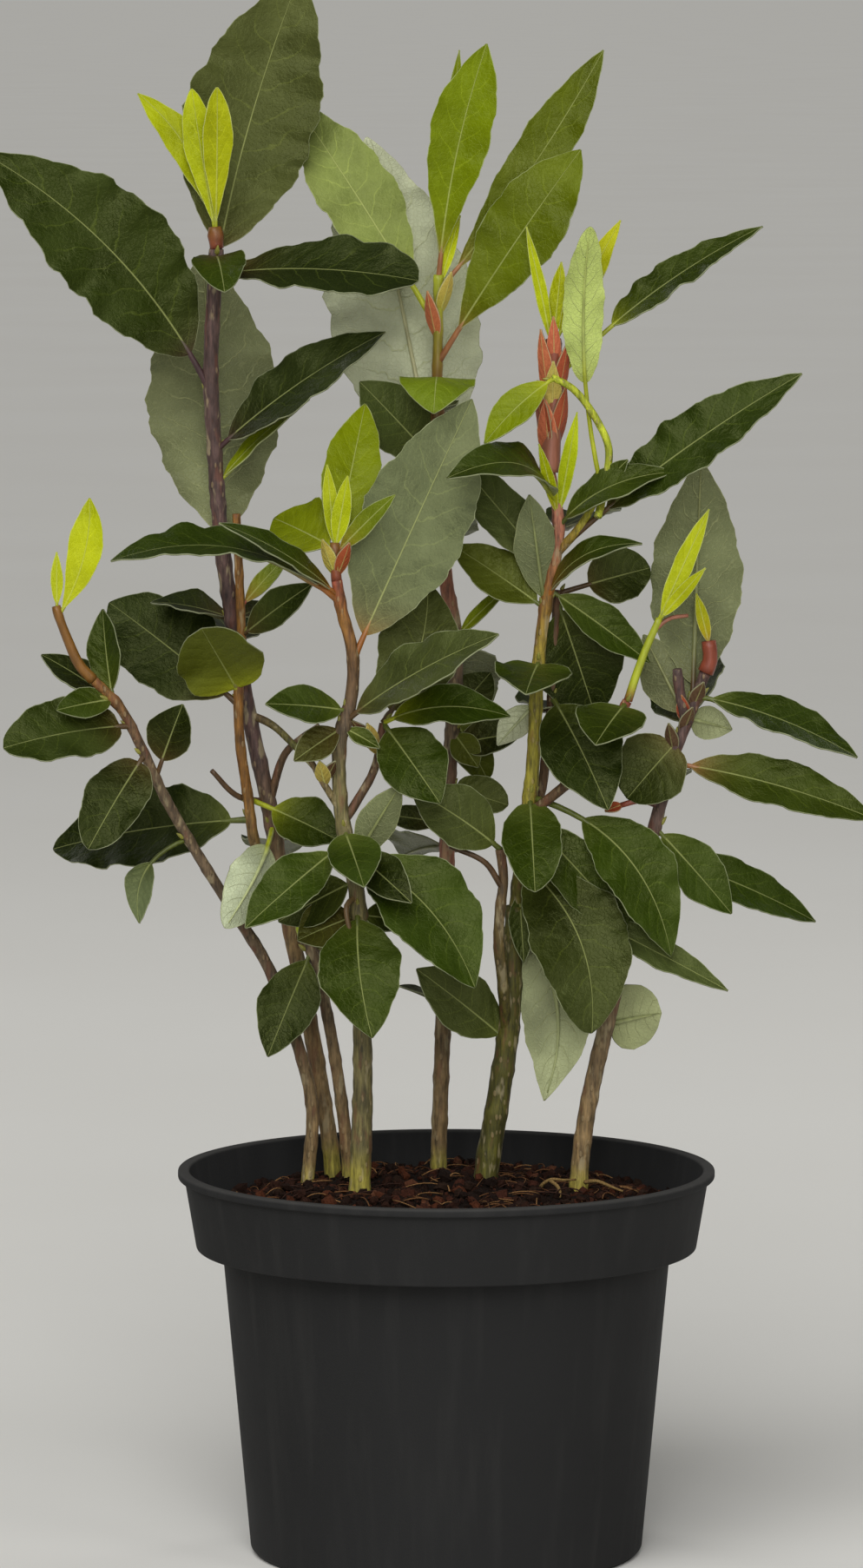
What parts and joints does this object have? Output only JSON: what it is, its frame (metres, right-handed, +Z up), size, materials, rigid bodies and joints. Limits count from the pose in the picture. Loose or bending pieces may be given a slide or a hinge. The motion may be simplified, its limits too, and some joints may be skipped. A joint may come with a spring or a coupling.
{
  "type": "bay laurel in a pot",
  "caption": "Young bay laurel with several leafy woody stems and pale young shoots, standing in potting mix in a round tapered nursery pot with a deep band under its lip.",
  "frame": {"origin": "middle of the flat underside of the pot, which rests on the floor", "axes": "+Z up through the middle of the pot, -Y towards the plant's front, +X to the right as seen from its front"},
  "size_m": [0.2819, 0.17, 0.5],
  "materials": {
    "pot_plastic": "matte black moulded plastic",
    "potting_mix": "loose dark peat and coir fibre",
    "woody_stem": "brown and green bark with glossy dark green leaves",
    "young_growth": "soft satin yellow-green, orange and pink young growth"
  },
  "bodies": {
    "root": {"pot": "pot_plastic", "potting_mix": "potting_mix", "stem_left_low": "woody_stem", "stem_left_tall": "woody_stem", "stem_left_mid": "woody_stem", "stem_left_front": "woody_stem", "stem_centre": "woody_stem", "stem_right_mid": "woody_stem", "stem_right": "woody_stem", "shoot_left_top": "young_growth", "shoot_left_low": "young_growth", "shoot_left_front": "young_growth", "shoot_centre_top": "young_growth", "shoot_right_mid_top": "young_growth", "shoot_right_side": "young_growth", "bud_right": "young_growth", "bud_left_mid": "young_growth"}
  },
  "joints": []
}
